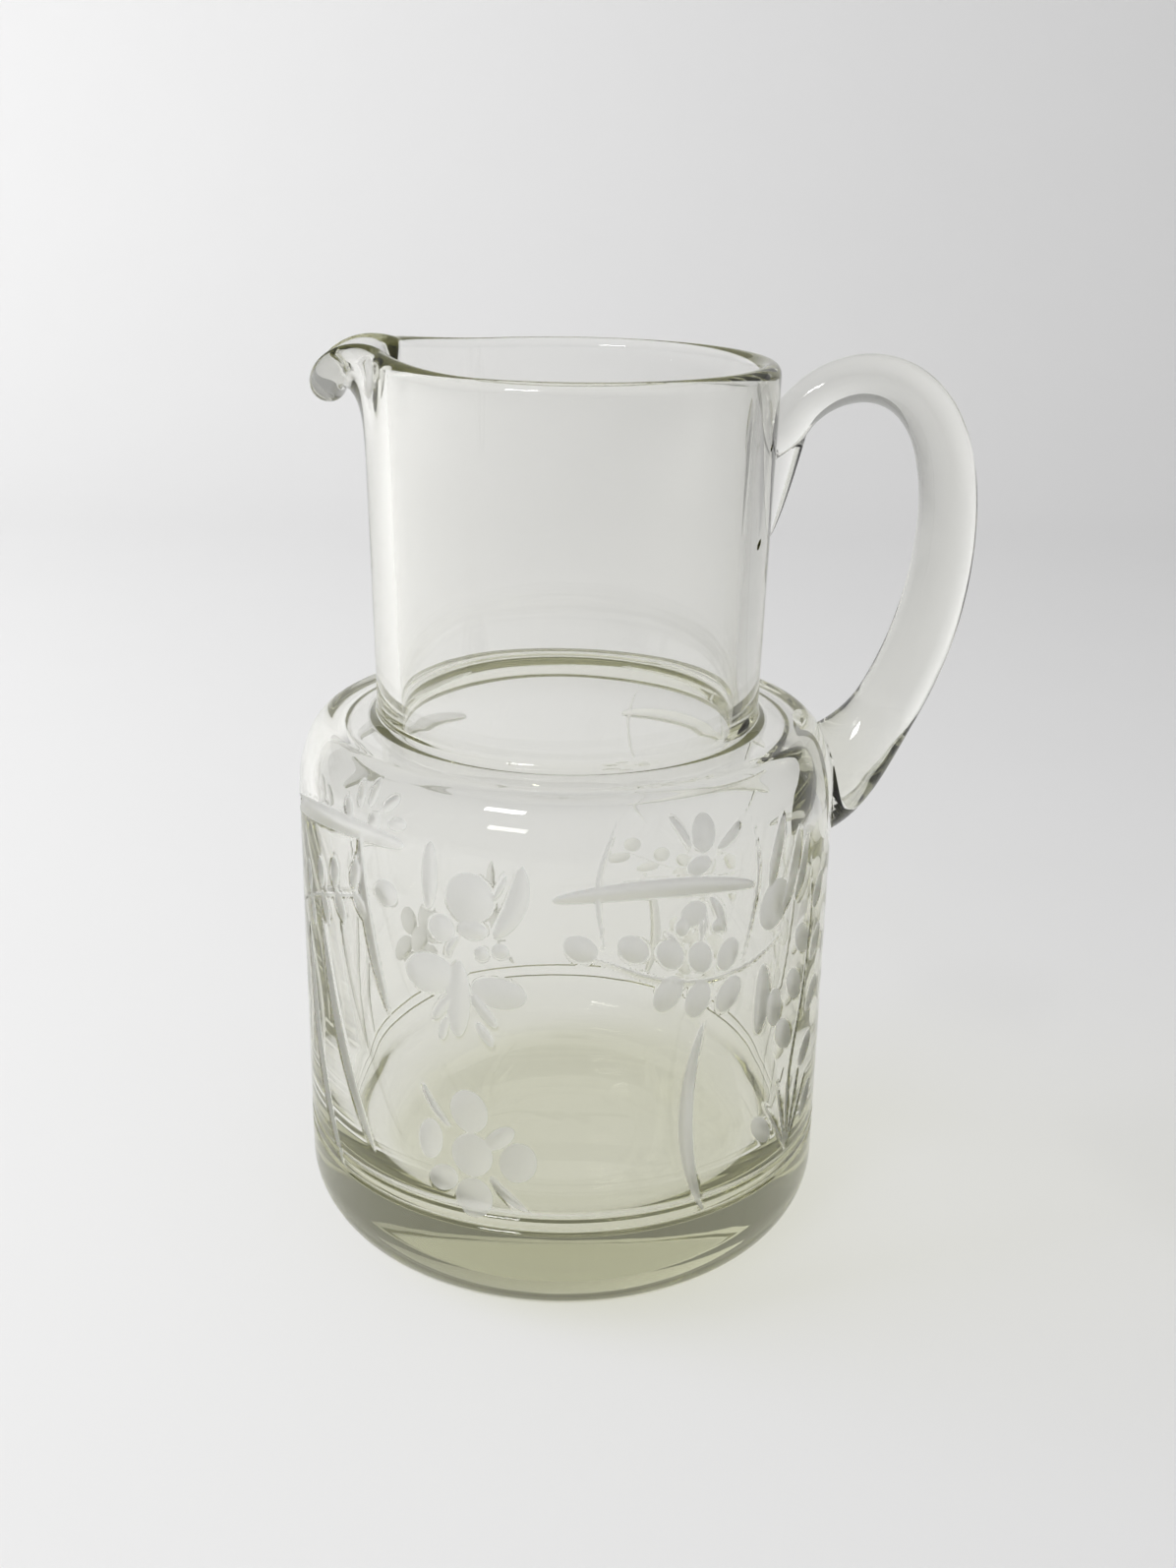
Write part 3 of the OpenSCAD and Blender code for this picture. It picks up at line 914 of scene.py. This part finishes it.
def seal_depths(xyz, solids):
    """How far each of the body's points lies inside the rod or the tail, in millimetres."""
    x, y, z = (xyz / MM).T
    radius = np.hypot(x, y)
    # Only the outer skin beside the handle can lie in its seals
    outside = np.where(z < body_h + 2, radius > edge_r - 8, radius > neck_r(z) - 1)
    near = outside & (x > 0) & (np.abs(y) < 20) & (z > 80) & (z < 188)
    trees = [BVHTree.FromPolygons([v.co.copy() for v in m.vertices],
                                  [list(f.vertices) for f in m.polygons]) for m in solids]
    depths = np.full(len(xyz), seal_far)
    for i in np.nonzero(near)[0]:
        p = Vector(xyz[i])
        for tree in trees:
            far = tree.find_nearest(p)[3] / MM
            depths[i] = max(depths[i], far if within(tree, p) else -far)
    return depths


rod_skin, tail_skin = handle_parts()
handle = add_object("pitcher_handle", rod_skin.mesh("pitcher_handle"))
tail = add_object("tail", tail_skin.mesh("tail"))

body_mesh, cut_values = build_body()
body_mesh.materials.append(glass("clear_glass", True))
co = np.zeros(len(body_mesh.vertices) * 3)
body_mesh.vertices.foreach_get("co", co)
seal_values = seal_depths(co.reshape(-1, 3), (handle.data, tail.data))
for name, data in (("cut", cut_values), ("seal", seal_values)):
    mask = body_mesh.attributes.new(name, "FLOAT", "POINT")
    mask.data.foreach_set("value", data.astype(np.float32))
body = add_object("pitcher_body", body_mesh)

handle_glass = glass("handle_glass", False)
handle.data.materials.append(handle_glass)
tail.data.materials.append(handle_glass)
combine(handle, tail, "UNION")
cutter = add_object("plug", plug().mesh("plug"))
cutter.data.materials.append(seal_glass("handle_seal"))
combine(handle, cutter, "DIFFERENCE")
handle.data.shade_smooth()
# The faces that the plug has cut carry its material, and stay unsmoothed
smooth = np.array([f.material_index == 0 for f in handle.data.polygons])
handle.data.polygons.foreach_set("use_smooth", smooth)
handle.data.update()

for piece, node, slot in ((body, "body", "clear_glass"), (handle, "handle", "handle_glass")):
    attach(piece, "root")
    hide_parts(node)

# ---------------------------------------------------------------- floor, light and camera
# A sheet of pale paper that sweeps up behind the pitcher
cove = [(cove_y + cove_r * math.sin(a), cove_r - cove_r * math.cos(a))
        for a in np.radians(np.linspace(0, 90, 25))]
sweep = [(paper_front, 0.0)] + cove + [(cove_y + cove_r, backdrop_top)]
columns = 9
points = [(x, y, z - paper_drop) for y, z in sweep
          for x in np.linspace(-paper_half_w, paper_half_w, columns)]
faces = [(a, a + 1, a + columns + 1, a + columns)
         for i in range(len(sweep) - 1) for a in range(i * columns, (i + 1) * columns - 1)]
floor_mesh = bpy.data.meshes.new("sweep")
floor_mesh.from_pydata(points, [], faces)
floor_mesh.shade_smooth()
floor_mesh.materials.append(paper("paper", (paper_tone, paper_tone * 0.998, paper_tone)))
add_object("sweep", floor_mesh)


def lamp(name, place, aim, size, power):
    data = bpy.data.lights.new(name, "AREA")
    data.shape = "RECTANGLE"
    data.size, data.size_y = size
    data.energy = power
    ob = add_object(name, data)
    ob.location = place
    ob.rotation_euler = (Vector(aim) - Vector(place)).to_track_quat("-Z", "Y").to_euler()
    return ob


# The large lamp isn't seen in the glass, where it would show as broad white patches
soft = lamp("window", soft_place, soft_aim, soft_size, soft_power)
soft.visible_glossy = False
soft.visible_transmission = False
lamp("window_small", small_place, small_aim, small_size, small_power)

world = bpy.data.worlds.new("room")
bpy.context.scene.world = world
world.use_nodes = True
room = world.node_tree
room.nodes.clear()
room_out = room.nodes.new("ShaderNodeOutputWorld")
backdrop = room.nodes.new("ShaderNodeBackground")
heading = room.nodes.new("ShaderNodeTexCoord")
parts = room.nodes.new("ShaderNodeSeparateXYZ")
room.links.new(heading.outputs["Generated"], parts.inputs[0])
room.links.new(smooth_step(room, parts.outputs["Y"], 0.35, world_front, world_back),
               backdrop.inputs["Color"])
room.links.new(backdrop.outputs[0], room_out.inputs[0])
backdrop.inputs["Strength"].default_value = world_strength

tilt, yaw, roll = camera_tilt, camera_yaw, camera_roll
ahead = Vector((math.sin(yaw) * math.cos(tilt), math.cos(yaw) * math.cos(tilt), -math.sin(tilt)))
right = Vector((math.cos(yaw), -math.sin(yaw), 0))
down = ahead.cross(right)
right_r = math.cos(roll) * right + math.sin(roll) * down
down_r = -math.sin(roll) * right + math.cos(roll) * down
cam_data = bpy.data.cameras.new("camera")
cam_data.lens = focal_pixels / photo_pixels * sensor_mm
cam_data.sensor_width = sensor_mm
cam_data.clip_start, cam_data.clip_end = 0.01, 20
camera = add_object("camera", cam_data)
turn = Matrix((right_r, -down_r, -ahead)).transposed().to_4x4()
camera.matrix_world = Matrix.Translation(Vector(camera_place)) @ turn
bpy.context.scene.camera = camera

scene = bpy.context.scene
# Light is led along the walls by total reflection, which counts as glossy bounces
scene.cycles.max_bounces = 128
scene.cycles.transmission_bounces = 64
scene.cycles.glossy_bounces = 96
scene.cycles.diffuse_bounces = 4
scene.cycles.transparent_max_bounces = 32
scene.cycles.volume_bounces = 0
scene.cycles.caustics_refractive = False
scene.cycles.caustics_reflective = False
scene.view_settings.view_transform = "Standard"
